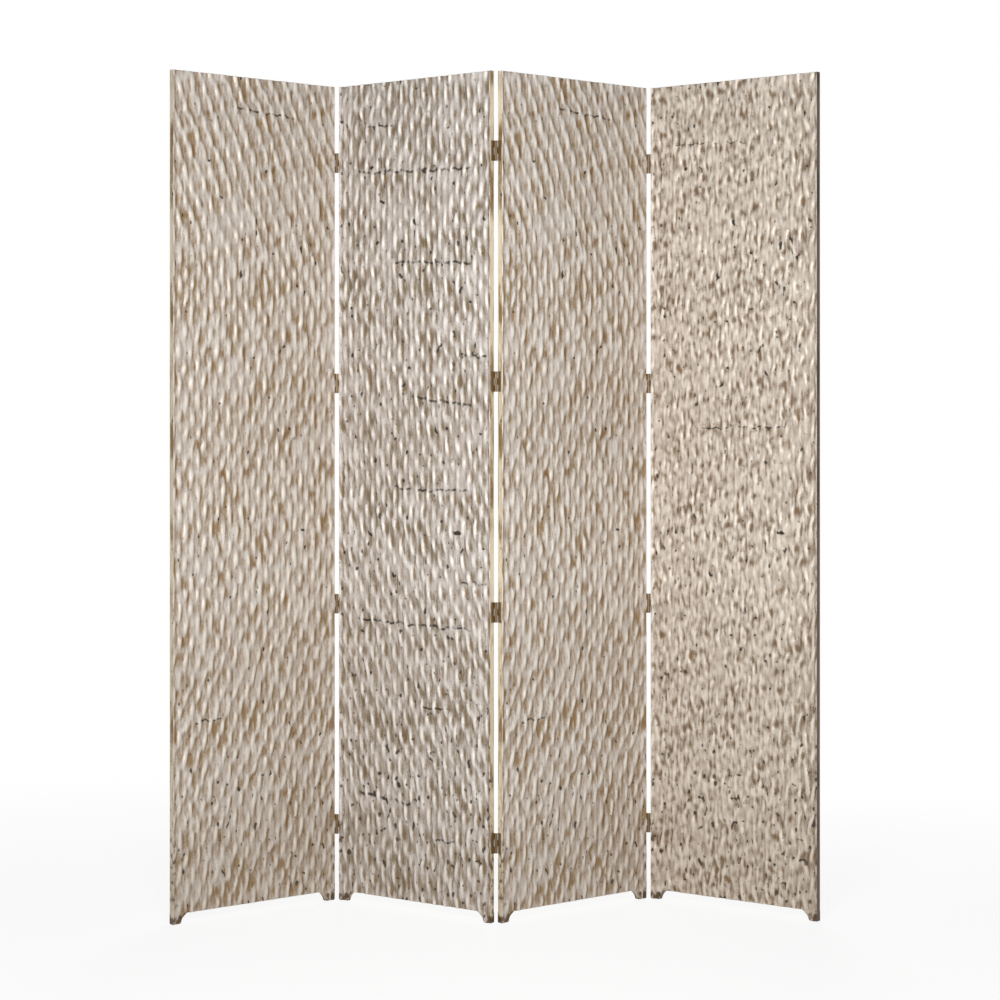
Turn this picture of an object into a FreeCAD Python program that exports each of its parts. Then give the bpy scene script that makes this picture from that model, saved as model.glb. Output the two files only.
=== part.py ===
import FreeCAD, Part
import os
import Sketcher

# A folding screen of four carved wooden panels, joined in a zig-zag by three rows of butt hinges.
# The floor is at Z = 0, the carved fronts look towards -Y, and the origin lies on the floor under
# the middle of the screen as it stands, half folded.

# Every driving size, in millimetres, with fold_angle in degrees and the counts plain numbers.
DRIVING = (
    ("panel_width", "508"),
    ("panel_height", "2134"),
    ("front_thickness", "8"),
    ("core_thickness", "7"),
    ("back_thickness", "3"),
    # The flutes that the gouge leaves up the carved front, ridge to ridge across its width.
    ("flute_count", "13"),
    ("flute_depth", "4.5"),
    # Each panel's direction is turned this far from the line of the open, flat screen.
    ("fold_angle", "40"),
    # The stiles, whose lower ends are left at full thickness and scooped into feet.
    ("stile_width", "46"),
    ("foot_height", "26"),
    ("foot_spread", "20"),
    ("foot_chamfer", "4"),
    ("foot_scoop_radius", "36"),
    # The rails, and the tenons that hold them in the stiles.
    ("end_rail_width", "70"),
    ("middle_rail_width", "50"),
    ("tenon_length", "22"),
    ("tenon_thickness", "3"),
    ("tenon_shoulder", "8"),
    ("mortise_play", "0.2"),
    # The hinges: the lowest and highest are centred this far from the floor and the top.
    ("hinge_count", "4"),
    ("hinge_inset", "200"),
    ("hinge_height", "51"),
    ("leaf_reach", "14"),
    ("leaf_thickness", "1.6"),
    ("knuckle_gap", "0.3"),
    ("pin_radius", "2.6"),
    ("pin_play", "0.05"),
    # The pin's axis stands this far outside the faces that fold together.
    ("pin_standoff", "2"),
    # How far a cutting shape runs past the face that it cuts.
    ("overrun", "1"),
)

# What follows from the driving sizes. A name in a formula is another cell of the sheet.
DERIVED = [
    ("thickness", "front_thickness + core_thickness + back_thickness"),
    ("core_back", "front_thickness + core_thickness"),
    ("flute_width", "panel_width / flute_count"),
    ("flute_middle", "flute_width / 2"),
    ("flute_run", "panel_width - flute_width"),
    ("board_height", "panel_height - foot_height"),
    ("foot_width", "stile_width - foot_spread"),
    ("foot_flat_end", "foot_width - foot_chamfer"),
    ("rail_end", "panel_width - stile_width"),
    ("frame_third", "(panel_height - foot_height) / 3"),
    ("tenon_start", "stile_width - tenon_length"),
    ("tenon_end", "rail_end + tenon_length"),
    ("tenon_front", "front_thickness + (core_thickness - tenon_thickness) / 2"),
    ("tenon_back", "tenon_front + tenon_thickness"),
    ("mortise_front", "tenon_front - mortise_play"),
    ("mortise_back", "tenon_back + mortise_play"),
    # The hinge's section, seen along its pin. The leaf is rolled round the pin, and its outside
    # face is tangent to the barrel, so the panels' edges stand a barrel's radius off the axis.
    ("bore_radius", "pin_radius + pin_play"),
    ("barrel_radius", "bore_radius + leaf_thickness"),
    ("leaf_root", "sqrt(barrel_radius ^ 2 - bore_radius ^ 2)"),
    ("notch_reach", "barrel_radius + overrun"),
    ("notch_depth", "barrel_radius + knuckle_gap"),
    ("hinge_low", "hinge_inset - hinge_height / 2"),
    ("hinge_high", "hinge_inset + hinge_height / 2"),
    ("hinge_run", "panel_height - 2 * hinge_inset"),
    ("knuckle_height", "hinge_height / 3"),
    ("middle_knuckle_low", "hinge_inset - (knuckle_height - knuckle_gap) / 2"),
    ("middle_knuckle_high", "hinge_inset + (knuckle_height - knuckle_gap) / 2"),
    ("middle_notch_low", "middle_knuckle_low - knuckle_gap"),
    ("middle_notch_high", "middle_knuckle_high + knuckle_gap"),
    ("notch_floor", "hinge_low - overrun"),
    ("notch_ceiling", "hinge_high + overrun"),
    # The plan of the screen as it stands: the front corners of the panels and the hinge pins.
    ("fold_cos", "cos(fold_angle)"),
    ("fold_sin", "sin(fold_angle)"),
    ("pin_to_front", "thickness + pin_standoff"),
    ("pin_to_middle", "pin_to_front - thickness / 2"),
    ("half_depth", "(panel_width / 2 + barrel_radius) * fold_sin - pin_to_middle * fold_cos"),
    ("middle_pin_y", "-half_depth"),
    ("near_x", "barrel_radius * fold_cos + pin_to_front * fold_sin"),
    ("near_y", "middle_pin_y + barrel_radius * fold_sin - pin_to_front * fold_cos"),
    ("far_x", "near_x + panel_width * fold_cos"),
    ("far_y", "near_y + panel_width * fold_sin"),
    ("side_pin_x", "far_x + barrel_radius * fold_cos + pin_standoff * fold_sin"),
    ("side_pin_y", "far_y + barrel_radius * fold_sin - pin_standoff * fold_cos"),
    ("outer_x", "side_pin_x + barrel_radius * fold_cos + pin_standoff * fold_sin"),
    ("end_x", "outer_x + panel_width * fold_cos"),
]

# Each rail's lower edge and its width. The middle rails are centred on the thirds of the frame.
RAILS = (
    ("bottom_rail", "foot_height", "end_rail_width"),
    ("lower_rail", "foot_height + frame_third - middle_rail_width / 2", "middle_rail_width"),
    ("upper_rail", "panel_height - frame_third - middle_rail_width / 2", "middle_rail_width"),
    ("top_rail", "panel_height - end_rail_width", "end_rail_width"),
)
for rail, low, width in RAILS:
    DERIVED += [(rail + "_low", low), (rail + "_high", f"{rail}_low + {width}")]

# The end rails are tenoned into the stiles. The middle rails are butted between them and glued.
TENONED_RAILS = ("bottom_rail", "top_rail")
for rail in TENONED_RAILS:
    DERIVED += [
        (rail + "_tenon_low", f"{rail}_low + tenon_shoulder"),
        (rail + "_tenon_high", f"{rail}_high - tenon_shoulder"),
        (rail + "_mortise_low", f"{rail}_tenon_low - mortise_play"),
        (rail + "_mortise_high", f"{rail}_tenon_high + mortise_play"),
    ]

# Each panel's number, its turn as a share of the fold angle, and its left and right front corners.
PANELS = (
    (1, 1, ("-end_x", "near_y"), ("-outer_x", "far_y")),
    (2, -1, ("-far_x", "far_y"), ("-near_x", "near_y")),
    (3, 1, ("near_x", "near_y"), ("far_x", "far_y")),
    (4, -1, ("outer_x", "far_y"), ("end_x", "near_y")),
)

# Each seam's name and pin, and the side that the leaves lie on, seen from the pin: towards +Y
# where the pin stands before the panels' fronts, and towards -Y where it stands behind them.
SEAMS = (
    ("hinge_12", ("-side_pin_x", "side_pin_y"), 1),
    ("hinge_23", ("0", "middle_pin_y"), -1),
    ("hinge_34", ("side_pin_x", "side_pin_y"), 1),
)

doc = FreeCAD.newDocument("folding_screen")
sheet = doc.addObject("Spreadsheet::Sheet", "sizes")
rows = [(alias, size) for alias, size in DRIVING] + [(alias, "=" + formula) for alias, formula in DERIVED]
for row, (alias, content) in enumerate(rows, 1):
    sheet.set(f"A{row}", alias)
    sheet.set(f"B{row}", content)
    sheet.setAlias(f"B{row}", alias)
doc.recompute()


def cell(term, flip=1):
    """The expression that reads a named size. A leading minus, and a flip of -1, each change its sign."""
    negative = term.startswith("-") != (flip < 0)
    return ("-" if negative else "") + "sizes." + term.lstrip("-")


def size(term, flip=1):
    """The number that the same expression gives now."""
    if term == "0":
        return 0
    value = sheet.get(term.lstrip("-"))
    return -value if term.startswith("-") != (flip < 0) else value


def origin_feature(body, role):
    return next(feature for feature in body.Origin.OriginFeatures if feature.Role == role)


def new_body(label, turn, x, y):
    """A body that stands at a point of the plan, turned by a share of the fold angle."""
    body = doc.addObject("PartDesign::Body", label)
    body.Label = label
    if x != "0":
        body.setExpression("Placement.Base.x", cell(x))
    body.setExpression("Placement.Base.y", cell(y))
    body.setExpression("Placement.Rotation.Angle", f"{turn} * sizes.fold_angle")
    return body


def new_sketch(body, name, plane, offset, flip=1):
    """A sketch on one of the body's own planes, moved along the plane's normal by a named size."""
    sketch = body.newObject("Sketcher::SketchObject", name)
    sketch.AttachmentSupport = [(origin_feature(body, plane), "")]
    sketch.MapMode = "FlatFace"
    if offset != "0":
        sketch.setExpression("AttachmentOffset.Base.z", cell(offset, flip))
    return sketch


def bind(sketch, kind, where, term, flip):
    """Ties one coordinate of a point to a named size, or the point to an axis where it is zero."""
    if term == "0":
        axis = -2 if kind == "DistanceX" else -1
        sketch.addConstraint(Sketcher.Constraint("PointOnObject", *where, axis))
    else:
        number = sketch.addConstraint(Sketcher.Constraint(kind, -1, 1, *where, size(term, flip)))
        sketch.setExpression(f"Constraints[{number}]", cell(term, flip))


def arc_centre(start, end, radius, left_hand):
    """The centre of an arc of that radius from start to end, on the left or the right of its chord."""
    half = (end - start) * 0.5
    left = FreeCAD.Vector(-half.y, half.x, 0).normalize()
    height = max(radius**2 - half.Length**2, 0) ** 0.5
    return start + half + left * (height if left_hand else -height)


def draw_outline(sketch, corners, arcs=None, flips=(1, 1)):
    """A closed outline through corners given as pairs of size names.

    arcs gives, for a side that is an arc, the name of its radius, whether it turns to the left, and
    whether it goes the long way round. flips mirrors the outline in the sketch's two axes."""
    mirrored = flips[0] * flips[1] < 0
    points = [FreeCAD.Vector(size(x, flips[0]), size(y, flips[1]), 0) for x, y in corners]
    sides = []
    for i, start in enumerate(points):
        end = points[(i + 1) % len(points)]
        if i not in (arcs or {}):
            sides.append((sketch.addGeometry(Part.LineSegment(start, end)), 1, 2))
            continue
        radius, turns_left, long_way = arcs[i]
        turns_left = turns_left != mirrored
        centre = arc_centre(start, end, size(radius), turns_left != long_way)
        circle = Part.Circle(centre, FreeCAD.Vector(0, 0, 1), size(radius))
        first, last = (start, end) if turns_left else (end, start)
        arc = Part.ArcOfCircle(circle, circle.parameter(first), circle.parameter(last))
        sides.append((sketch.addGeometry(arc), 1, 2) if turns_left else (sketch.addGeometry(arc), 2, 1))
        number = sketch.addConstraint(Sketcher.Constraint("Radius", sides[-1][0], size(radius)))
        sketch.setExpression(f"Constraints[{number}]", cell(radius))
    for i, (side, start, end) in enumerate(sides):
        following, following_start, _ = sides[(i + 1) % len(sides)]
        sketch.addConstraint(Sketcher.Constraint("Coincident", side, end, following, following_start))
        bind(sketch, "DistanceX", (side, start), corners[i][0], flips[0])
        bind(sketch, "DistanceY", (side, start), corners[i][1], flips[1])


def draw_box(sketch, left, low, right, high, flips=(1, 1)):
    draw_outline(sketch, ((left, low), (right, low), (right, high), (left, high)), None, flips)


def draw_circle(sketch, x, y, radius, flips=(1, 1)):
    centre = FreeCAD.Vector(size(x, flips[0]), size(y, flips[1]), 0)
    circle = sketch.addGeometry(Part.Circle(centre, FreeCAD.Vector(0, 0, 1), size(radius)))
    number = sketch.addConstraint(Sketcher.Constraint("Radius", circle, size(radius)))
    sketch.setExpression(f"Constraints[{number}]", cell(radius))
    bind(sketch, "DistanceX", (circle, 3), x, flips[0])
    bind(sketch, "DistanceY", (circle, 3), y, flips[1])


def extrude(body, kind, name, sketch, length, reverse=False):
    """A Pad along the sketch's normal, or a Pocket against it, or the other way round if reversed."""
    feature = body.newObject("PartDesign::" + kind, name)
    feature.Profile = sketch
    feature.setExpression("Length", length)
    feature.Reversed = reverse
    return feature


def repeat(body, name, features, axis, run, count):
    """The same features over and over along one of the body's axes, over a named run."""
    pattern = body.newObject("PartDesign::LinearPattern", name)
    pattern.Originals = features
    pattern.Direction = (origin_feature(body, axis), [""])
    pattern.setExpression("Length", "sizes." + run)
    pattern.setExpression("Occurrences", "sizes." + count)
    body.Tip = pattern


def board(label, turn, corner, front, thickness):
    """A front board or a back board: a flat sheet that stands on the feet's shoulders."""
    body = new_body(label, turn, *corner)
    sketch = new_sketch(body, "Face", "XZ_Plane", front, -1)
    draw_box(sketch, "0", "foot_height", "panel_width", "panel_height")
    extrude(body, "Pad", "Board", sketch, "sizes." + thickness, reverse=True)
    return body


def carved_board(label, turn, corner):
    """A front board whose face is cut into upright flutes that meet in ridges."""
    body = board(label, turn, corner, "0", "front_thickness")
    section = new_sketch(body, "FluteSection", "XY_Plane", "foot_height")
    draw_outline(section, (("0", "0"), ("flute_width", "0"), ("flute_middle", "flute_depth")))
    flute = extrude(body, "Pocket", "Flute", section, "sizes.board_height", reverse=True)
    repeat(body, "Flutes", [flute], "X_Axis", "flute_run", "flute_count")
    return body


def stile(label, turn, corner, side):
    """An upright of the frame. side is 1 at the panel's left edge and -1, mirrored, at its right."""
    flips = (side, 1)
    body = new_body(label, turn, *corner)
    foot = new_sketch(body, "FootOutline", "XZ_Plane", "0")
    corners = (
        ("foot_chamfer", "0"),
        ("foot_flat_end", "0"),
        ("foot_width", "foot_chamfer"),
        ("stile_width", "foot_height"),
        ("0", "foot_height"),
        ("0", "foot_chamfer"),
    )
    draw_outline(foot, corners, {2: ("foot_scoop_radius", False, False)}, flips)
    extrude(body, "Pad", "Foot", foot, "sizes.thickness", reverse=True)
    core = new_sketch(body, "UprightOutline", "XZ_Plane", "front_thickness", -1)
    draw_box(core, "0", "foot_height", "stile_width", "panel_height", flips)
    extrude(body, "Pad", "Upright", core, "sizes.core_thickness", reverse=True)
    mouths = new_sketch(body, "MortiseMouths", "YZ_Plane", "stile_width", side)
    for rail in TENONED_RAILS:
        draw_box(mouths, "mortise_front", rail + "_mortise_low", "mortise_back", rail + "_mortise_high")
    extrude(body, "Pocket", "Mortises", mouths, "sizes.tenon_length + sizes.mortise_play", reverse=side < 0)
    return body


def rail_between_stiles(label, turn, corner, rail):
    """A rail of the frame. An end rail has a tenon at each end that fills the mortise in the stile."""
    body = new_body(label, turn, *corner)
    bar = new_sketch(body, "RailOutline", "XZ_Plane", "front_thickness", -1)
    draw_box(bar, "stile_width", rail + "_low", "rail_end", rail + "_high")
    extrude(body, "Pad", "Rail", bar, "sizes.core_thickness", reverse=True)
    if rail in TENONED_RAILS:
        tenons = new_sketch(body, "TenonOutline", "XZ_Plane", "tenon_front", -1)
        draw_box(tenons, "tenon_start", rail + "_tenon_low", "tenon_end", rail + "_tenon_high")
        extrude(body, "Pad", "Tenons", tenons, "sizes.tenon_thickness", reverse=True)
    return body


def leaves(label, turn, pin, side, inward, knuckles):
    """The leaves on one panel's edge, one to a hinge, each rolled round the pin.

    side is 1 where the panel lies to the pin's right and -1 to its left, and inward is 1 where the
    leaf reaches back from the pin and -1 where it reaches forward. knuckles is 1 or 2."""
    flips = (side, inward)
    body = new_body(label, turn, *pin)
    section = new_sketch(body, "Section", "XY_Plane", "hinge_low")
    corners = (
        ("barrel_radius", "0"),
        ("barrel_radius", "leaf_reach"),
        ("bore_radius", "leaf_reach"),
        ("bore_radius", "leaf_root"),
    )
    draw_outline(section, corners, {3: ("barrel_radius", True, True)}, flips)
    draw_circle(section, "0", "0", "bore_radius")
    features = [extrude(body, "Pad", "RolledLeaf", section, "sizes.hinge_height")]
    room = new_sketch(body, "OtherKnuckles", "YZ_Plane", "notch_reach")
    if knuckles == 2:
        draw_box(room, "-notch_reach", "middle_notch_low", "notch_depth", "middle_notch_high", (inward, 1))
    else:
        draw_box(room, "-notch_reach", "notch_floor", "notch_depth", "middle_knuckle_low", (inward, 1))
        draw_box(room, "-notch_reach", "middle_knuckle_high", "notch_depth", "notch_ceiling", (inward, 1))
    features.append(extrude(body, "Pocket", "Notches", room, "2 * sizes.notch_reach"))
    repeat(body, "Hinges", features, "Z_Axis", "hinge_run", "hinge_count")
    return body


def pins(label, turn, pin):
    """The pins of one seam, each as long as its barrel and staked flush with it."""
    body = new_body(label, turn, *pin)
    section = new_sketch(body, "Section", "XY_Plane", "hinge_low")
    draw_circle(section, "0", "0", "pin_radius")
    pin_pad = extrude(body, "Pad", "Pin", section, "sizes.hinge_height")
    repeat(body, "Hinges", [pin_pad], "Z_Axis", "hinge_run", "hinge_count")
    return body


subparts = []
for number, turn, left_corner, right_corner in PANELS:
    name = f"panel_{number}_"
    subparts.append(carved_board(name + "carved_front", turn, left_corner))
    subparts.append(board(name + "back_board", turn, left_corner, "core_back", "back_thickness"))
    subparts.append(stile(name + "stile_left", turn, left_corner, 1))
    subparts.append(stile(name + "stile_right", turn, right_corner, -1))
    for rail, _, _ in RAILS:
        subparts.append(rail_between_stiles(name + rail, turn, left_corner, rail))

for (name, pin, inward), left_panel, right_panel in zip(SEAMS, PANELS, PANELS[1:]):
    left_turn, right_turn = left_panel[1], right_panel[1]
    subparts.append(leaves(name + "_leaves_left", left_turn, pin, -1, inward, 2))
    subparts.append(leaves(name + "_leaves_right", right_turn, pin, 1, inward, 1))
    subparts.append(pins(name + "_pins", left_turn, pin))

doc.recompute()

for thing in doc.Objects:
    if "Invalid" in thing.State or "Error" in thing.State:
        raise RuntimeError(f"{thing.Label} did not compute: {thing.State}")
for part in subparts:
    if part.Shape.isNull() or not part.Shape.isValid():
        raise RuntimeError(f"{part.Label} has no valid shape")

os.makedirs("parts", exist_ok=True)
for part in subparts:
    part.Shape.exportStep(f"parts/{part.Label}.step")
    print(part.Label, len(part.Shape.Solids), round(part.Shape.Volume))
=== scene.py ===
"""A tall folding screen of four carved, leafed panels, which stands in a zig-zag on a plain floor."""

import math
from functools import partial

import bpy
import numpy as np
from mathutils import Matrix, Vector


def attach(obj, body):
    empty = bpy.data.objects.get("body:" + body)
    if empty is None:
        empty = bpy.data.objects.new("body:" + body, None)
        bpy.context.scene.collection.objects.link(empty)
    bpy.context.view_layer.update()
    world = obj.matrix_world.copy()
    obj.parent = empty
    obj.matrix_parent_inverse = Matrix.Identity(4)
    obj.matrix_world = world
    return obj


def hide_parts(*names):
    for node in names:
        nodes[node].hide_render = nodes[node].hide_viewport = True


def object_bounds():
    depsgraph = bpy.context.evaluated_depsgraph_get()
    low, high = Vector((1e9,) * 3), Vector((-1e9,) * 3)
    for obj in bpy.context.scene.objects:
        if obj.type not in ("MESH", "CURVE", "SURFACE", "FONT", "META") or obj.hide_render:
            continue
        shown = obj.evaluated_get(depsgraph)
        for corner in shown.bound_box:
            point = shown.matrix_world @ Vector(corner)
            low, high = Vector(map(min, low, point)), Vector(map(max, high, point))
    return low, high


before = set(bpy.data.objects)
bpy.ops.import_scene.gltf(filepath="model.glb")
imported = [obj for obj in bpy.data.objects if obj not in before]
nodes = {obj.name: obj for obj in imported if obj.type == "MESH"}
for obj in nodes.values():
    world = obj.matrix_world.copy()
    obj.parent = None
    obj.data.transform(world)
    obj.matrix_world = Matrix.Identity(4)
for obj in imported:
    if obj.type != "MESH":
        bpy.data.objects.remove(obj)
cad_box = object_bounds()


# RAILS
# Each panel is a hollow frame between two boards. Four bars of planed softwood cross it: the top
# and bottom ones are tenoned into the stiles, and the two between are butted and glued. Only the
# outer edges of the top and bottom rails show, and those are rubbed to a plain cream.


def paint(red, green, blue):
    """A colour given as it looks on a screen, from 0 to 255, as the linear values of a socket."""
    screen = np.array((red, green, blue)) / 255
    linear = np.where(screen <= 0.04045, screen / 12.92, ((screen + 0.055) / 1.055) ** 2.4)
    return (*linear.tolist(), 1.0)


def add(tree, kind, inputs=None, **settings):
    """One node of a material or group. An input that is another node's output is linked to its
    socket, and any other input is the socket's value."""
    node = tree.nodes.new("ShaderNode" + kind)
    for name, setting in settings.items():
        setattr(node, name, setting)
    for name, given in (inputs or {}).items():
        if isinstance(given, bpy.types.NodeSocket):
            tree.links.new(given, node.inputs[name])
        else:
            node.inputs[name].default_value = given
    return node


def figure(tree, operation, *values, clamp=False):
    """The result of a Math node."""
    return add(tree, "Math", dict(enumerate(values)), operation=operation, use_clamp=clamp).outputs[0]


def blended(tree, share, first, second):
    """The colour that lies that share of the way from the first to the second."""
    return add(tree, "Mix", {0: share, 6: first, 7: second}, data_type="RGBA").outputs[2]


def rising(tree, value, low, high):
    """0 where the value is under low, 1 where it is over high, and a smooth rise between them."""
    inputs = {"Value": value, "From Min": low, "From Max": high}
    return add(tree, "MapRange", inputs, interpolation_type="SMOOTHSTEP").outputs[0]


def cloud(tree, place, scale, detail=3.0, stretch=(1.0, 1.0, 1.0), roughness=0.5):
    """Noise from 0 to 1 at a place in metres, that many spots to a metre, with its own stretch."""
    moved = add(tree, "Mapping", {"Vector": place, "Scale": stretch}).outputs[0]
    inputs = {"Vector": moved, "Scale": scale, "Detail": detail, "Roughness": roughness}
    return add(tree, "TexNoise", inputs).outputs[0]


def swing(tree, noise, size):
    """A noise's swing about zero: from half the size below it to half the size above."""
    return figure(tree, "MULTIPLY_ADD", noise, size, -size / 2)


def new_finish(name):
    """A material, its node tree and its Principled shader."""
    material = bpy.data.materials.new(name)
    material.use_nodes = True
    return material, material.node_tree, material.node_tree.nodes["Principled BSDF"]


def dress(piece, *materials):
    """Gives a piece its materials in place of what it had."""
    piece.data.materials.clear()
    for material in materials:
        piece.data.materials.append(material)


SOFTWOOD = paint(196, 160, 112)
SOFTWOOD_GRAIN = paint(160, 118, 74)
EDGE_CREAM = paint(192, 178, 154)
GRAIN_STRETCH = (1, 1, 9)
SKIN = 0.0005
FOOT_HEIGHT = 0.026
TOP = cad_box[1].z

rail_wood, tree, shader = new_finish("rail wood, leafed on its outer edge")
place = add(tree, "TexCoord").outputs["Object"]
height = add(tree, "SeparateXYZ", {0: place}).outputs["Z"]
grain = rising(tree, cloud(tree, place, 60, 4, GRAIN_STRETCH), 0.4, 0.7)
outer = figure(tree, "GREATER_THAN", height, TOP - SKIN)
under = figure(tree, "LESS_THAN", height, FOOT_HEIGHT + SKIN)
bare = blended(tree, grain, SOFTWOOD, SOFTWOOD_GRAIN)
colour = blended(tree, figure(tree, "MAXIMUM", outer, under), bare, EDGE_CREAM)
tree.links.new(colour, shader.inputs["Base Color"])
shader.inputs["Roughness"].default_value = 0.6

for name, node in nodes.items():
    if name.endswith("_rail"):
        dress(node, rail_wood)


# STILES
# The two uprights of each panel's frame, of softwood. Their lower ends are left at the panel's full
# thickness and scooped into feet. The carving runs on over the feet's fronts, and the outer edges
# are leafed over, rubbed to cream and golden brown.

# How each panel is carved: the seed of its hand, how deep the gouge goes in metres, what share of it
# is a crowd of small random cuts, which thins out towards the right side, whether every second
# column leans the same way, 1, or the other way, -1, and how its grains lean at heights from the
# floor, from -1, where they fall to the right, to 1, where they fall to the left. The first and
# third panels are a pair.
HANDS = {
    1: {
        "seed": 11,
        "depth": 0.0048,
        "crowd": 0.0,
        "turn": 1,
        "leans": ((0.1, 0.5), (0.55, 0.7), (0.95, 0.15), (1.35, 0.45), (1.6, 0), (1.8, -0.6), (2.05, -0.8)),
    },
    2: {
        "seed": 23,
        "depth": 0.0066,
        "crowd": 0.0,
        "turn": 1,
        "leans": ((0.1, -0.3), (0.35, -0.5), (0.8, -0.6), (1.05, -0.3), (1.4, -0.3), (1.8, 0.1), (2.05, 0.3)),
    },
    4: {
        "seed": 47,
        "depth": 0.0064,
        "crowd": 0.42,
        "turn": -1,
        "leans": ((0.1, 0.7), (0.6, 0.9), (1.2, 0.8), (1.6, 0.9), (2.05, 0.8)),
    },
}
HANDS[3] = HANDS[1]
COLUMNS = 13.4
ROWS = 26
SLANT = 0.6
FLANK = 0.13
WIDTH = 0.508
DEEPEST = 0.0068
SHALLOWEST = 0.0002
SIDE_FADE = 0.010
RIPPLE = 0.00035
COLUMN_STRAY = 0.05
ROW_STRAY = 0.08
UNEVEN = 0.15
SIDE_DEPTH = 0.2
# The crowd thins with the distance to a line that lies CROWD_LINE past the right side: it is whole
# from CROWD_FADE away, and no less than CROWD_LEAST of that anywhere.
CROWD_LINE = 0.03
CROWD_FADE = 0.14
CROWD_LEAST = 0.3
# How much each form of the cut adds to the wear of the leaf. On the flanks it is also painted shade beside each
# ridge: wholly shade on the left, and shade with wear on the right.
HOLLOW_WEAR = 0.6
RIGHT_FLANK_WEAR_AND_SHADE = 0.75
LEFT_FLANK_SHADE = 0.4
CROWD_WEAR = 0.6
RIPPLE_WEAR = 230
# The waves of each wander in the carving: their count, their longest and shortest length, and how
# far they are stretched upwards.
STRAY_WAVES = (7, 0.4, 0.07)
UNEVEN_WAVES = (9, 0.15, 0.035)
RIPPLE_WAVES = (14, 0.028, 0.007, 4)
CROWD_WAVES = (34, 0.027, 0.009, 2.2)
STILE_WIDTH = 0.046
FOOT_WIDTH = 0.026
FOOT_ROUND = 0.004
SCOOP_RADIUS = 0.036
FRONT_BOARD = 0.008
BACK_BOARD = 0.003
THICKNESS = 0.018
SOFT_ARRIS = 0.0012


def wander(x, z, seed, count, longest, shortest, stretch=1.0):
    """A smooth wander of about -2 to 2: the sum of sine waves in random directions, with lengths
    from longest to shortest, made longer upwards by stretch, over the root of half their count."""
    chance = np.random.default_rng(seed)
    total = np.zeros_like(x)
    for length in np.geomspace(longest, shortest, count):
        turn, start = chance.uniform(0, 2 * np.pi, 2)
        total += np.sin(2 * np.pi / length * (x * np.cos(turn) + z * np.sin(turn) / stretch) + start)
    return total / np.sqrt(count / 2)


def lattice(columns, rows, lean, turn):
    """How high the wood stands, from 0 to 1, at a place counted in columns and rows of grains.

    Narrow ridges like grains of rice are left standing in two sets, the second set half a column
    and half a row on from the first, like bricks. A ridge is cos(pi (c - s r)) ** 6 times
    cos(pi r) ** 3, where c and r are counted from its middle and s, its slant, follows the lean.
    The second set's slant is turn times the first's."""
    height = 0
    for start, way in ((0, 1), (0.5, turn)):
        row = (rows - start + 0.5) % 1 - 0.5
        across = np.cos(np.pi * (columns - start - SLANT * lean * way * row))
        height = height + across**6 * np.cos(np.pi * row) ** 3
    return height


def carving(x, z, seed, depth, crowd, turn, leans):
    """The depth of the carving in metres at x from the panel's left edge and z from the floor, and
    how far the leaf wears through there, from 0 to 1.2. That is most on the flanks of each ridge and
    more on the right one, and the flanks carry painted shade beside each ridge, with wear of the leaf
    as well on the right one. The lattice's places and depth wander as a hand does, under the ripple of a
    fine gouge, and the cut gets shallow towards the panel's sides, so that their edges stay straight."""
    columns = x / WIDTH * COLUMNS + COLUMN_STRAY * wander(x, z, seed, *STRAY_WAVES)
    rows = z / TOP * ROWS + ROW_STRAY * wander(x, z, seed + 1, *STRAY_WAVES)
    heights, shares = np.array(leans).T
    lean = np.interp(z, heights, shares)
    ridge, right, left = (lattice(columns - aside, rows, lean, turn) for aside in (0, FLANK, -FLANK))
    loose = crowd * np.clip((WIDTH + CROWD_LINE - x) / CROWD_FADE, CROWD_LEAST, 1)
    small = 0.48 + 0.3 * wander(x, z, seed + 7, *CROWD_WAVES) + 0.1 * np.cos(4 * np.pi * rows)
    cut = (1 - loose) * (1 - ridge) + loose * small
    cut = cut * (1 + UNEVEN * wander(x, z, seed + 2, *UNEVEN_WAVES))
    ripple = RIPPLE * wander(x, z, seed + 5, *RIPPLE_WAVES)
    side = np.clip(np.minimum(x, WIDTH - x) / SIDE_FADE, 0, 1)
    deep = np.clip(depth * cut + ripple + SHALLOWEST, 0, DEEPEST)
    # Painted shade: the flanks beside each ridge are browned, the left one as shade alone and the right one as
    # shade with wear.
    flank_shade_and_wear = RIGHT_FLANK_WEAR_AND_SHADE * np.clip(right - ridge, 0, 1) + LEFT_FLANK_SHADE * np.clip(left - ridge, 0, 1)
    wear_and_shade = HOLLOW_WEAR * cut + (1 - loose) * flank_shade_and_wear + CROWD_WEAR * loose * np.clip(small - 0.4, 0, 1)
    wear_and_shade = wear_and_shade + RIPPLE_WEAR * ripple
    return deep * (SIDE_DEPTH + (1 - SIDE_DEPTH) * side**2 * (3 - 2 * side)), np.clip(wear_and_shade, 0, 1.2)


def arris(distance, radius):
    """How far a rounded edge falls away at that distance from it: a quarter of a circle."""
    inside = np.clip(radius - distance, 0, radius)
    return radius - np.sqrt(radius**2 - inside**2)


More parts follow.
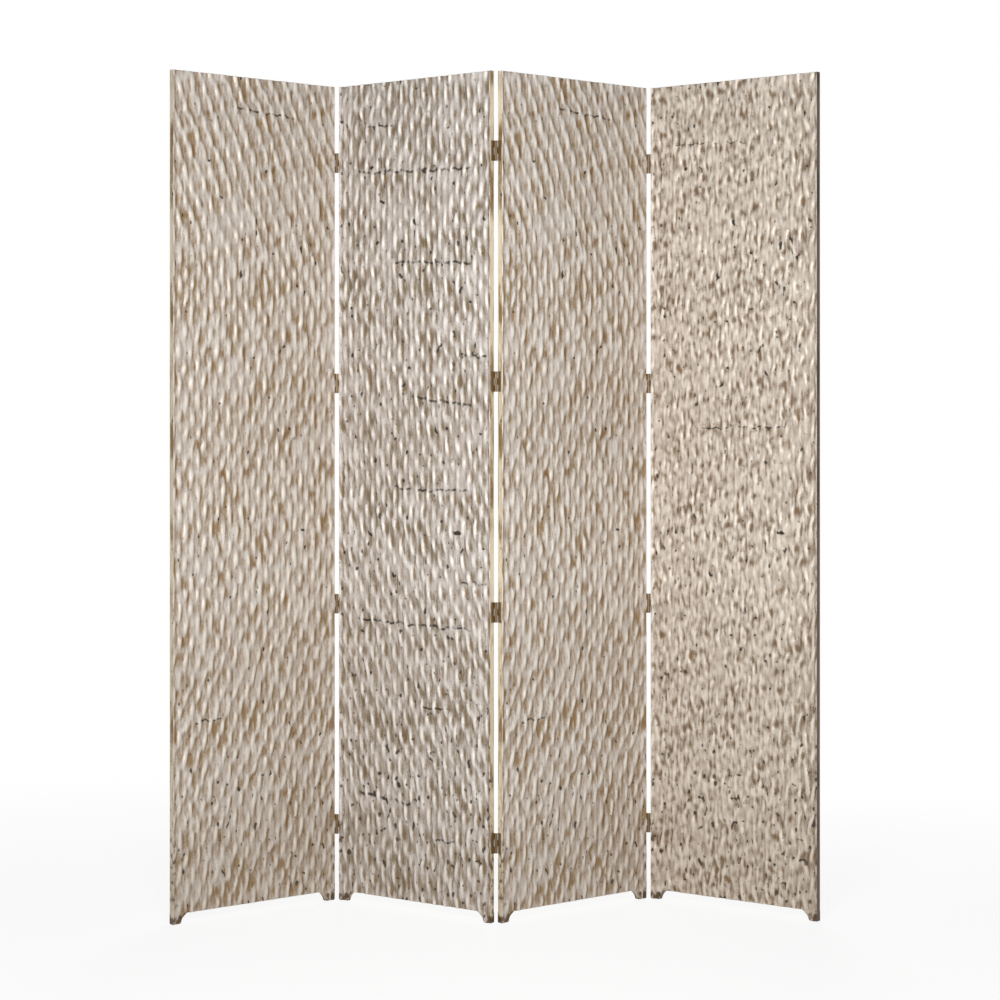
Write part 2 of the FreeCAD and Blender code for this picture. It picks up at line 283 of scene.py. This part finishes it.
def slab(across, up, front, back, hollow=0.0):
    """A closed piece with a shaped front and a flat back, in a panel's own axes.

    across, up and front give the front's points on a grid, whose rows go up and columns to the
    right. Walls run from its border back to the depth of back, and a fan to one point closes it.
    Returns its points, its faces in fours and threes, and how hollow it is at each point."""
    rows, columns = across.shape
    number = np.arange(rows * columns).reshape(rows, columns)
    face = np.stack((number[:-1, :-1], number[:-1, 1:], number[1:, 1:], number[1:, :-1]), -1).reshape(-1, 4)
    border = np.concatenate((number[0, :-1], number[:-1, -1], number[-1, :0:-1], number[:0:-1, 0]))
    points = np.stack((across, front, up), -1).reshape(-1, 3)
    rim = points[border] * (1, 0, 1) + (0, back, 0)
    behind = number.size + np.arange(len(border))
    wall = np.stack((border, behind, np.roll(behind, -1), np.roll(border, -1)), -1)
    middle = np.full(len(border), number.size + len(border))
    fan = np.stack((middle, np.roll(behind, -1), behind), -1)
    points = np.concatenate((points, rim, rim.mean(0)[None]))
    hollows = np.zeros(len(points))
    hollows[: number.size] = np.broadcast_to(hollow, across.shape).ravel()
    return points, (face, wall, fan), hollows


def panel_axes(number):
    """Where a panel stands, read off its flat back board: its left front edge at the floor, and
    the directions along its width and from its front to its back."""
    mesh = nodes[f"panel_{number}_back_board"].data
    corners = np.empty(3 * len(mesh.vertices))
    mesh.vertices.foreach_get("co", corners)
    plan = corners.reshape(-1, 3)[:, :2]
    along = np.linalg.svd(plan - plan.mean(0), full_matrices=False)[2][0]
    along = along * np.sign(along[0])
    backwards = np.array((-along[1], along[0]))
    corner = along * (plan @ along).min() + backwards * ((plan @ backwards).max() - THICKNESS)
    return np.append(corner, 0), np.append(along, 0), np.append(backwards, 0)


def build(name, shells, axes, *materials):
    """Joins closed shells into one mesh, set in the panel's axes: a point is the corner plus its
    three measures along the width, the depth and the height. The fronts take the first material
    and are smooth. The walls and the backs take the last and are flat. The attribute "board" keeps
    a point's place on the panel in metres, and "hollow" how far the leaf wears through there, together
    with the painted shade beside each ridge."""
    corner, along, backwards = axes
    starts = np.cumsum([0] + [len(points) for points, _, _ in shells])
    faces, walls, fans = ([group[i] + start for (_, group, _), start in zip(shells, starts)] for i in range(3))
    places = np.concatenate([points for points, _, _ in shells])
    quads = np.concatenate(faces + walls)
    triangles = np.concatenate(fans)
    corners = np.concatenate((quads.ravel(), triangles.ravel()))
    totals = np.repeat((4, 3), (len(quads), len(triangles)))
    mesh = bpy.data.meshes.new(name)
    mesh.vertices.add(len(places))
    world = corner + places[:, :1] * along + places[:, 1:2] * backwards + places[:, 2:] * (0, 0, 1)
    mesh.vertices.foreach_set("co", world.ravel())
    mesh.loops.add(len(corners))
    mesh.loops.foreach_set("vertex_index", corners)
    mesh.polygons.add(len(totals))
    mesh.polygons.foreach_set("loop_start", np.concatenate(([0], np.cumsum(totals)[:-1])))
    is_front = np.arange(len(totals)) < sum(len(face) for face in faces)
    mesh.polygons.foreach_set("use_smooth", is_front)
    board = mesh.attributes.new("board", "FLOAT_VECTOR", "POINT")
    board.data.foreach_set("vector", places.ravel())
    hollow = mesh.attributes.new("hollow", "FLOAT", "POINT")
    hollow.data.foreach_set("value", np.concatenate([hollows for _, _, hollows in shells]))
    mesh.validate()
    piece = bpy.data.objects.new(name, mesh)
    bpy.context.scene.collection.objects.link(piece)
    dress(piece, *materials)
    mesh.polygons.foreach_set("material_index", np.where(is_front, 0, len(materials) - 1))
    mesh.update()
    return piece


def foot_and_upright(left, hand):
    """A stile's two shells. The foot's front is the carving, between a left and a right edge that
    depend on the height: rounded corners of FOOT_ROUND at the floor, and above that on the inner
    side a scoop, which is an arc whose centre lies on the normal through its chord's middle."""
    rounded = np.linspace(0, 1, 7) ** 2 * FOOT_ROUND
    heights = np.concatenate((rounded, np.linspace(FOOT_ROUND, FOOT_HEIGHT, 12)[1:]))
    low, high = np.array((FOOT_WIDTH, FOOT_ROUND)), np.array((STILE_WIDTH, FOOT_HEIGHT))
    chord = high - low
    normal = np.array((chord[1], -chord[0])) / np.linalg.norm(chord)
    centre = (low + high) / 2 + normal * math.sqrt(SCOOP_RADIUS**2 - (np.linalg.norm(chord) / 2) ** 2)
    scoop = centre[0] - np.sqrt(SCOOP_RADIUS**2 - (np.maximum(heights, FOOT_ROUND) - centre[1]) ** 2)
    inner = np.where(heights < FOOT_ROUND, FOOT_WIDTH - arris(heights, FOOT_ROUND), scoop)
    outer = arris(heights, FOOT_ROUND)
    step = np.concatenate(([0, 0.01, 0.03], np.linspace(0.06, 0.94, 18), [0.97, 0.99, 1]))
    across = outer[:, None] + (inner - outer)[:, None] * step
    up = np.repeat(heights[:, None], len(step), 1)
    near_edge = np.minimum(across - outer[:, None], inner[:, None] - across)
    if not left:
        across = WIDTH - across[:, ::-1]
        near_edge = near_edge[:, ::-1]
    cut, hollow = carving(across, up, **hand)
    front = cut + arris(up, FOOT_ROUND) + arris(near_edge, SOFT_ARRIS)
    edge = 0 if left else WIDTH - STILE_WIDTH
    sides, ends = np.meshgrid((edge, edge + STILE_WIDTH), (FOOT_HEIGHT, TOP))
    flat = np.full_like(sides, FRONT_BOARD)
    return slab(across, up, front, THICKNESS, hollow), slab(sides, ends, flat, THICKNESS - BACK_BOARD)


def new_group(name, inputs, outputs):
    """A shader node group with named sockets, and its input node and output node."""
    group = bpy.data.node_groups.new(name, "ShaderNodeTree")
    for direction, sockets in (("INPUT", inputs), ("OUTPUT", outputs)):
        for socket, kind in sockets.items():
            group.interface.new_socket(socket, in_out=direction, socket_type="NodeSocket" + kind)
    return group, group.nodes.new("NodeGroupInput").outputs, group.nodes.new("NodeGroupOutput").inputs


def use_group(tree, group, inputs):
    """A group placed in a material."""
    return add(tree, "Group", inputs, node_tree=group).outputs


# Leaf laid over a brown ground and rubbed: two tints of leaf in clouds, worn through to the ground
# in the hollows, with streaks along the cut. The Hollow input also carries the painted shade beside
# each ridge, which takes the ground's colour too. Rust and soot lie in spots in the hollows, with more
# soot near the floor. A painted shade dulls the lower part and three broad bands, 0.6 m apart, which
# follow a cosine of BAND_RADIANS to a metre of height. The feet are darkened near the floor with
# painted shade, and the lower margins by the sides are browned. Each pair of measures, in metres,
# says where a darkening has faded out and where it is full.
RUST = paint(134, 98, 56)
SOOT = paint(52, 44, 36)
HEIGHT_SHADE = paint(132, 106, 72)
FEET_SHADE_AND_MARGIN_BROWN = paint(88, 64, 36)
LOWER_PART = (0.75, 0.1)
BANDED_PART = (1.7, 1.45)
BAND_RADIANS = 10.5
BAND_START = -13.0
MARGIN = (0.022, 0.0)
MARGIN_HEIGHT = (0.5, 0.06)
FOOT_SHADE = (0.034, 0.01)

aged_leaf, given, result = new_group(
    "aged leaf",
    {
        "Place": "Vector",
        "Hollow": "Float",
        "Leaf": "Color",
        "Second Leaf": "Color",
        "Ground": "Color",
        "Rust": "Float",
        "Soot": "Float",
    },
    {"Colour": "Color", "Roughness": "Float", "Height": "Float"},
)
place, hollow = given["Place"], given["Hollow"]
clouds = cloud(aged_leaf, place, 14, 4)
patches = cloud(aged_leaf, place, 9, 3, (1, 1, 0.6))
streaks = cloud(aged_leaf, place, 210, 4, (1, 1, 0.22), 0.6)
specks = cloud(aged_leaf, place, 420, 2, (1, 1, 0.6))
rubbed = figure(aged_leaf, "ADD", swing(aged_leaf, streaks, 0.9), swing(aged_leaf, specks, 0.5))
rubbed = figure(aged_leaf, "ADD", hollow, rubbed)
dulled = figure(aged_leaf, "MULTIPLY_ADD", clouds, 0.6, figure(aged_leaf, "SUBTRACT", rubbed, 0.3))
leaf = blended(aged_leaf, rising(aged_leaf, dulled, 0.0, 0.65), given["Leaf"], given["Second Leaf"])
wear_and_shade = figure(aged_leaf, "MULTIPLY_ADD", patches, 0.7, figure(aged_leaf, "SUBTRACT", rubbed, 0.35))
wear_and_shade = rising(aged_leaf, wear_and_shade, 0.42, 1.05)
colour = blended(aged_leaf, wear_and_shade, leaf, given["Ground"])
rust_spots = rising(aged_leaf, cloud(aged_leaf, place, 46, 3, (1, 1, 0.4)), 0.55, 0.66)
rust = figure(aged_leaf, "MULTIPLY", rust_spots, rising(aged_leaf, hollow, 0.5, 0.9))
rust = figure(aged_leaf, "MULTIPLY", rust, given["Rust"], clamp=True)
colour = blended(aged_leaf, rust, colour, RUST)
parts = add(aged_leaf, "SeparateXYZ", {0: place}).outputs
up = parts["Z"]
low = rising(aged_leaf, up, *LOWER_PART)
soot_spots = figure(aged_leaf, "MULTIPLY_ADD", given["Soot"], 0.05, cloud(aged_leaf, place, 84, 0, (1, 1, 0.8)))
soot_spots = figure(aged_leaf, "MULTIPLY_ADD", low, 0.05, soot_spots)
soot_spots = rising(aged_leaf, soot_spots, 0.78, 0.84)
soot = figure(aged_leaf, "MULTIPLY", soot_spots, rising(aged_leaf, hollow, 0.1, 0.5))
colour = blended(aged_leaf, soot, colour, SOOT)
# Painted shade: the lower part of the panel and three bands up it are dulled towards a brown.
band = figure(aged_leaf, "COSINE", figure(aged_leaf, "MULTIPLY_ADD", up, BAND_RADIANS, BAND_START))
band = figure(aged_leaf, "MULTIPLY", figure(aged_leaf, "ADD", band, 1.0), rising(aged_leaf, up, *BANDED_PART))
height_shade_share = figure(aged_leaf, "MULTIPLY_ADD", low, 0.12, figure(aged_leaf, "MULTIPLY", band, 0.045))
colour = blended(aged_leaf, height_shade_share, colour, HEIGHT_SHADE)
# The feet are darkened near the floor as painted shade, and the lower margins by the sides are browned.
side = figure(aged_leaf, "PINGPONG", parts["X"], WIDTH / 2)
feet_shade_and_margins = figure(aged_leaf, "MULTIPLY", rising(aged_leaf, side, *MARGIN), rising(aged_leaf, up, *MARGIN_HEIGHT))
feet_shade_and_margins = figure(aged_leaf, "MULTIPLY", feet_shade_and_margins, 0.6)
feet_shade_and_margins = figure(aged_leaf, "MAXIMUM", feet_shade_and_margins, rising(aged_leaf, up, *FOOT_SHADE))
feet_shade_and_margins = figure(aged_leaf, "MULTIPLY_ADD", feet_shade_and_margins, 0.34, cloud(aged_leaf, place, 90, 3, (1, 1, 0.6)))
colour = blended(aged_leaf, rising(aged_leaf, feet_shade_and_margins, 0.62, 0.88), colour, FEET_SHADE_AND_MARGIN_BROWN)
aged_leaf.links.new(colour, result["Colour"])
aged_leaf.links.new(figure(aged_leaf, "MULTIPLY_ADD", wear_and_shade, 0.2, 0.42), result["Roughness"])
aged_leaf.links.new(figure(aged_leaf, "ADD", streaks, specks), result["Height"])


LEAF_SHEEN = 0.08
LEAF_BUMP = 0.0006


def leafed(name, leaf, second, ground, rust, soot, edge=False, marks=None):
    """A leafed finish, with a fine bump for the streaks in the leaf.

    On an edge the wear comes from a slow noise up the panel, not from hollows. marks is a function
    that draws more on the leaf: from the node tree, the place on the panel, the hollow and the
    colour, it makes the new colour."""
    material, tree, shader = new_finish(name)
    place = add(tree, "Attribute", attribute_name="board").outputs["Vector"]
    # The hollow attribute carries the wear of the leaf together with the painted shade beside each ridge.
    hollow = add(tree, "Attribute", attribute_name="hollow").outputs["Fac"]
    if edge:
        hollow = rising(tree, cloud(tree, place, 7, 4, (3, 3, 1)), 0.35, 0.65)
    inputs = {"Place": place, "Hollow": hollow, "Leaf": leaf, "Second Leaf": second}
    inputs.update({"Ground": ground, "Rust": rust, "Soot": soot})
    laid = use_group(tree, aged_leaf, inputs)
    colour = marks(tree, place, hollow, laid["Colour"]) if marks else laid["Colour"]
    bump = add(tree, "Bump", {"Height": laid["Height"], "Strength": 0.35, "Distance": LEAF_BUMP}).outputs[0]
    tree.links.new(colour, shader.inputs["Base Color"])
    tree.links.new(laid["Roughness"], shader.inputs["Roughness"])
    tree.links.new(bump, shader.inputs["Normal"])
    shader.inputs["Metallic"].default_value = LEAF_SHEEN
    return material


# What leafed is told of each finish: the two tints of the leaf, the ground, and how much rust and
# how much soot there is. The fourth panel's edges are darkened all over with painted shade.
PALE_EDGES = (paint(244, 231, 204), paint(228, 211, 178), paint(146, 116, 70), 0.6, -0.2)
SHADED_EDGES = (paint(106, 84, 62), paint(90, 70, 50), paint(62, 46, 32), 0.4, -0.2)
edge_leaf = leafed("rubbed leaf on the edges", *PALE_EDGES, edge=True)
# The fourth panel's edges take the darker tints, which are painted shade.
shaded_edge_leaf = leafed("painted shade on the fourth panel's edges", *SHADED_EDGES, edge=True)
edge_leaves = {1: edge_leaf, 2: edge_leaf, 3: edge_leaf, 4: shaded_edge_leaf}
# The first panel's leaf is set a little darker than that of the third, its pair, as painted shade: the key lamp
# lights the first more.
LEAVES = {
    1: (paint(236, 229, 219), paint(204, 193, 183), paint(148, 121, 82), 0.9, -0.2),
    2: (paint(254, 249, 242), paint(208, 198, 190), paint(130, 112, 84), 0.5, 0.6),
    3: (paint(247, 241, 232), paint(214, 203, 193), paint(155, 127, 87), 0.9, -0.2),
    4: (paint(246, 236, 222), paint(204, 191, 176), paint(124, 102, 76), 0.6, 0.5),
}
CRACK_DARK = paint(48, 40, 32)
# Where the ground under the leaf has shrunk and cracked: from and to across the panel, the height
# from the floor, how far the line rises, and its half width.
CRACKS = {
    1: ((0.176, 0.385, 2.056, -0.016, 0.0022), (0.066, 0.150, 0.499, 0.004, 0.0020)),
    2: (
        (0.085, 0.190, 2.022, -0.004, 0.0020),
        (0.063, 0.450, 1.906, -0.012, 0.0024),
        (0.180, 0.450, 1.666, -0.010, 0.0026),
        (0.405, 0.495, 1.424, -0.006, 0.0024),
        (0.240, 0.450, 1.320, -0.022, 0.0026),
        (0.180, 0.440, 1.084, -0.004, 0.0022),
        (0.410, 0.495, 0.849, 0.0, 0.0020),
        (0.050, 0.450, 0.741, -0.010, 0.0024),
        (0.275, 0.380, 0.524, 0.0, 0.0020),
        (0.063, 0.255, 0.288, -0.014, 0.0030),
        (0.325, 0.390, 0.189, -0.002, 0.0024),
    ),
    4: ((0.060, 0.300, 1.980, -0.006, 0.0014), (0.150, 0.430, 1.240, 0.004, 0.0016)),
}
CRACKS[3] = CRACKS[1]

crack, given, result = new_group(
    "crack",
    {"Place": "Vector", "From": "Float", "To": "Float", "Height": "Float", "Rise": "Float", "Width": "Float"},
    {"Mask": "Float"},
)
parts = add(crack, "SeparateXYZ", {0: given["Place"]}).outputs
length = figure(crack, "SUBTRACT", given["To"], given["From"])
share = figure(crack, "DIVIDE", figure(crack, "SUBTRACT", parts["X"], given["From"]), length)
line = figure(crack, "MULTIPLY_ADD", share, given["Rise"], given["Height"])
stray = swing(crack, cloud(crack, given["Place"], 34, 3, (1, 1, 0.1)), 0.03)
away = figure(crack, "ABSOLUTE", figure(crack, "SUBTRACT", figure(crack, "ADD", line, stray), parts["Z"]))
near = figure(crack, "SUBTRACT", 1.7, figure(crack, "DIVIDE", away, given["Width"]), clamp=True)
ends = figure(crack, "MULTIPLY", rising(crack, share, 0, 0.06), rising(crack, share, 1, 0.94))
dashes = rising(crack, cloud(crack, given["Place"], 42, 2, (1, 1, 0.1)), 0.28, 0.44)
near = figure(crack, "MULTIPLY", near, dashes)
crack.links.new(figure(crack, "MULTIPLY", near, ends), result["Mask"])


def draw_cracks(cracks, tree, place, hollow, colour):
    """Draws a panel's cracks on its leaf. They show most in the hollows."""
    cracked = 0.0
    for start, end, height, rise, width in cracks:
        inputs = {"Place": place, "From": start, "To": end, "Height": height, "Rise": rise, "Width": width}
        cracked = figure(tree, "MAXIMUM", cracked, use_group(tree, crack, inputs)["Mask"])
    cracked = figure(tree, "MULTIPLY", cracked, rising(tree, hollow, 0.2, 0.75))
    return blended(tree, cracked, colour, CRACK_DARK)


front_leaf = {
    number: leafed(f"carved leaf {number}", *colours, marks=partial(draw_cracks, CRACKS[number]))
    for number, colours in LEAVES.items()
}

for number, hand in HANDS.items():
    axes = panel_axes(number)
    for side in ("left", "right"):
        shells = foot_and_upright(side == "left", hand)
        stile = build(f"stile_{side}_{number}", shells, axes, front_leaf[number], edge_leaves[number])
        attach(stile, f"panel_{number}")
        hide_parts(f"panel_{number}_stile_{side}")


# BACK BOARDS
# A thin sheet of plywood glued on the back of each frame. It isn't carved: the same leaf is laid on
# it in squares that overlap by a thin line, and its arrises are rubbed soft.

LEAF_SQUARE = 0.094
LAP_HALF = 0.0016
LAP_BROWN = paint(122, 100, 74)
BACK_TINTS = (paint(204, 192, 176), paint(194, 181, 166), paint(140, 118, 90), 0.5, 0.5)


def draw_laps(tree, place, _, colour):
    """Draws the lines where the squares of leaf overlap. They stray a little."""
    parts = add(tree, "SeparateXYZ", {0: place}).outputs
    stray = swing(tree, cloud(tree, place, 11, 2), 0.012)
    laps = []
    for axis in ("X", "Z"):
        moved = figure(tree, "ADD", parts[axis], stray)
        away = figure(tree, "PINGPONG", moved, LEAF_SQUARE / 2)
        laps.append(figure(tree, "SUBTRACT", 1.0, rising(tree, away, 0.0, LAP_HALF)))
    lap = figure(tree, "MAXIMUM", *laps)
    return blended(tree, figure(tree, "MULTIPLY", lap, 0.45), colour, LAP_BROWN)


back_leaf = leafed("leaf laid in squares", *BACK_TINTS, marks=draw_laps)


def near_border(low, high, count, radius=SOFT_ARRIS):
    """Places from low to high, close together at both ends, where the arris is rounded."""
    ends = radius * np.array((0, 0.12, 0.4, 1.0))
    return np.concatenate((low + ends, np.linspace(low + 2 * radius, high - 2 * radius, count), high - ends[::-1]))


for number in HANDS:
    corner, along, backwards = panel_axes(number)
    turned = (corner + WIDTH * along + THICKNESS * backwards, -along, -backwards)
    across, up = np.meshgrid(near_border(0, WIDTH, 24), near_border(FOOT_HEIGHT, TOP, 90))
    edge = np.minimum(np.minimum(across, WIDTH - across), np.minimum(up - FOOT_HEIGHT, TOP - up))
    sag = 0.0002 * (1 + 0.4 * wander(across, up, 70 + number, 6, 0.9, 0.25))
    shell = slab(across, up, arris(edge, SOFT_ARRIS) + sag, BACK_BOARD)
    back = build(f"back_{number}", [shell], turned, back_leaf, edge_leaves[number])
    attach(back, f"panel_{number}")
    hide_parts(f"panel_{number}_back_board")


# CARVED FRONTS
# The board that gives the screen its look, 8 mm of solid wood gouged by hand all over in long
# staggered hollows that lean now one way and now the other, then laid with a pale leaf that is worn
# brown in the hollows, painted with shade beside each ridge, and cracked here and there across the grain.

for number, hand in HANDS.items():
    across, up = np.meshgrid(near_border(0, WIDTH, 232), near_border(FOOT_HEIGHT, TOP, 372))
    edge = np.minimum(np.minimum(across, WIDTH - across), TOP - up)
    cut, hollow = carving(across, up, **hand)
    shell = slab(across, up, cut + arris(edge, SOFT_ARRIS), FRONT_BOARD, hollow)
    front = build(f"carved_front_{number}", [shell], panel_axes(number), front_leaf[number], edge_leaves[number])
    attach(front, f"panel_{number}")
    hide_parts(f"panel_{number}_carved_front")


# HINGES
# Three rows of four bronzed butt hinges. Each leaf is a strip of sheet rolled round the pin into
# its knuckles and screwed to the edge of a stile. The pins are steel, staked flush at both ends.

dulled_metal, given, result = new_group(
    "dulled metal",
    {"Place": "Vector", "Metal": "Color", "Tarnish": "Color", "Amount": "Float"},
    {"Colour": "Color", "Roughness": "Float"},
)
blotches = cloud(dulled_metal, given["Place"], 160, 4, (1, 1, 0.7), 0.6)
tarnish = figure(dulled_metal, "MULTIPLY", rising(dulled_metal, blotches, 0.35, 0.65), given["Amount"])
dulled_metal.links.new(blended(dulled_metal, tarnish, given["Metal"], given["Tarnish"]), result["Colour"])
dulled_metal.links.new(figure(dulled_metal, "MULTIPLY_ADD", tarnish, 0.25, 0.35), result["Roughness"])


def metal(name, colour, tarnish, amount, metallic=1.0):
    """A metal finish, dulled in blotches."""
    material, tree, shader = new_finish(name)
    place = add(tree, "TexCoord").outputs["Object"]
    inputs = {"Place": place, "Metal": colour, "Tarnish": tarnish, "Amount": amount}
    dull = use_group(tree, dulled_metal, inputs)
    tree.links.new(dull["Colour"], shader.inputs["Base Color"])
    tree.links.new(dull["Roughness"], shader.inputs["Roughness"])
    shader.inputs["Metallic"].default_value = metallic
    return material


bronze = metal("bronzed sheet", paint(130, 106, 72), paint(102, 80, 50), 0.7, 0.4)
steel = metal("dark steel", paint(120, 112, 102), paint(70, 60, 50), 0.7)

for name, node in nodes.items():
    if "_leaves_" in name:
        dress(node, bronze)
    elif name.endswith("_pins"):
        dress(node, steel)


# SCREWS
# Two slotted countersunk screws of bronzed steel to each leaf. Their heads lie a hair proud of it,
# and each slot points wherever the screw came tight.

HINGE_INSET = 0.2
HINGE_STEP = 0.578
HINGE_HEIGHTS = HINGE_INSET + HINGE_STEP * np.arange(4)
PIN_STANDOFF = 0.002
LEAF_THICKNESS = 0.0016
SCREW_FROM_PIN = 0.0092
SCREW_ABOVE = 0.015
HEAD_RADIUS = 0.003
HEAD_PROUD = 0.00015
SLOT_HALF = 0.0004
SLOT_DEPTH = 0.0007
HEAD_DEPTH = LEAF_THICKNESS * 0.8
HEAD_POINTS = 9


def screw_head(side, up, turn):
    """One head, as a stack of chords of a circle: its edge is rounded, and a slot crosses it."""
    chords = np.array((-0.995, -0.9, -0.6, -0.3, 0, 0.3, 0.6, 0.9, 0.995)) * HEAD_RADIUS
    chords = np.sort(np.append(chords[chords != 0], np.array((-1.02, -0.98, 0.98, 1.02)) * SLOT_HALF))
    half = np.sqrt(HEAD_RADIUS**2 - chords**2)
    along = half[:, None] * np.linspace(-1, 1, HEAD_POINTS)
    over = np.repeat(chords[:, None], HEAD_POINTS, 1)
    out = np.hypot(along, over) / HEAD_RADIUS
    slot = np.where(np.abs(over) < SLOT_HALF, SLOT_DEPTH, 0)
    front = HEAD_PROUD * (out**4 - 1) + slot
    cosine, sine = math.cos(turn), math.sin(turn)
    across, height = side + cosine * along - sine * over, up + sine * along + cosine * over
    return slab(across, height, front, HEAD_DEPTH)


chance = np.random.default_rng(5)
for seam, left, right in (("12", 1, 2), ("23", 2, 3), ("34", 3, 4)):
    depth = SCREW_FROM_PIN - PIN_STANDOFF if seam != "23" else THICKNESS + PIN_STANDOFF - SCREW_FROM_PIN
    for side, number in (("left", left), ("right", right)):
        corner, along, backwards = panel_axes(number)
        if side == "left":
            axes = (corner + (WIDTH + LEAF_THICKNESS) * along, backwards, -along)
            across = depth
        else:
            axes = (corner - LEAF_THICKNESS * along, -backwards, along)
            across = -depth
        shells = [
            screw_head(across, height + above, chance.uniform(0, np.pi))
            for height in HINGE_HEIGHTS
            for above in (-SCREW_ABOVE, SCREW_ABOVE)
        ]
        screws = build(f"screws_{seam}_{side}", shells, axes, bronze)
        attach(screws, f"panel_{number}")


# FLOOR, LIGHT AND CAMERA
# A plain white floor and background. One soft lamp stands in front of the screen, a little to the
# left of the camera, so that the light rakes across the turned panels. A broader one behind lights
# the screen's back.

world = bpy.data.worlds.new("white room")
bpy.context.scene.world = world
world.use_nodes = True
tree = world.node_tree
tree.nodes.clear()
rays = add(tree, "LightPath").outputs
seen = figure(tree, "MAXIMUM", rays["Is Camera Ray"], rays["Is Glossy Ray"])
seen = figure(tree, "MAXIMUM", seen, rays["Is Transmission Ray"])
dim = add(tree, "Background", {"Color": (1, 1, 1, 1), "Strength": 0.1}).outputs[0]
white = add(tree, "Background", {"Color": (1, 1, 1, 1), "Strength": 1.0}).outputs[0]
shown = add(tree, "MixShader", {0: seen, 1: dim, 2: white}).outputs[0]
add(tree, "OutputWorld", {"Surface": shown})

# The floor glows for the camera alone, so that it looks white. Near the screen the glow's share is
# less, and a faint shadow shows.
GLOW_NEAR = 0.86
GLOW_FAR = 0.98
GLOW_DISTANCES = (0.9, 3.5)

floor_white, tree, shader = new_finish("white floor")
shader.inputs["Base Color"].default_value = (0.9, 0.9, 0.9, 1)
shader.inputs["Roughness"].default_value = 0.9
rays = add(tree, "LightPath").outputs
seen = figure(tree, "MAXIMUM", rays["Is Camera Ray"], rays["Is Glossy Ray"])
on_floor = add(tree, "TexCoord").outputs["Object"]
distance = add(tree, "VectorMath", {0: on_floor}, operation="LENGTH").outputs["Value"]
far = rising(tree, distance, *GLOW_DISTANCES)
glow = add(tree, "Emission", {"Color": (1, 1, 1, 1), "Strength": 1.02}).outputs[0]
share = figure(tree, "MULTIPLY", seen, figure(tree, "MULTIPLY_ADD", far, GLOW_FAR - GLOW_NEAR, GLOW_NEAR))
mixed = add(tree, "MixShader", {0: share, 1: shader.outputs[0], 2: glow}).outputs[0]
tree.links.new(mixed, tree.nodes["Material Output"].inputs["Surface"])

REACH = 30.0
FLOOR_LEVEL = -0.0003
floor_mesh = bpy.data.meshes.new("floor")
corners = [(REACH * x, REACH * y, FLOOR_LEVEL) for x, y in ((-1, -1), (1, -1), (1, 1), (-1, 1))]
floor_mesh.from_pydata(corners, [], [(0, 1, 2, 3)])
floor = bpy.data.objects.new("floor", floor_mesh)
bpy.context.scene.collection.objects.link(floor)
dress(floor, floor_white)


def area_lamp(name, place, target, size, watts):
    """A square lamp that faces a point, and that the camera doesn't see."""
    data = bpy.data.lights.new(name, "AREA")
    data.shape = "SQUARE"
    data.size = size
    data.energy = watts
    lamp = bpy.data.objects.new(name, data)
    lamp.location = place
    facing = np.array(target) - np.array(place)
    lamp.rotation_euler = Vector(facing).to_track_quat("-Z", "Y").to_euler()
    lamp.visible_camera = False
    bpy.context.scene.collection.objects.link(lamp)


area_lamp("key", (-0.3, -3.0, 1.5), (0, 0, 1.4), 0.8, 66)
area_lamp("behind", (0.6, 3.4, 1.8), (0, 0, 1.0), 1.6, 70)

LENS = 91.3
SENSOR_WIDTH = 36
SHIFT_UP = -0.0787
CAMERA_PLACE = (-0.1597, -6.5076, 1.2565)
CAMERA_TURN = -1.531

camera_data = bpy.data.cameras.new("camera")
camera_data.lens = LENS
camera_data.sensor_width = SENSOR_WIDTH
camera_data.shift_y = SHIFT_UP
camera = bpy.data.objects.new("camera", camera_data)
camera.location = CAMERA_PLACE
camera.rotation_euler = (math.radians(90), 0, math.radians(CAMERA_TURN))
bpy.context.scene.collection.objects.link(camera)
bpy.context.scene.camera = camera

bpy.context.scene.view_settings.view_transform = "Standard"
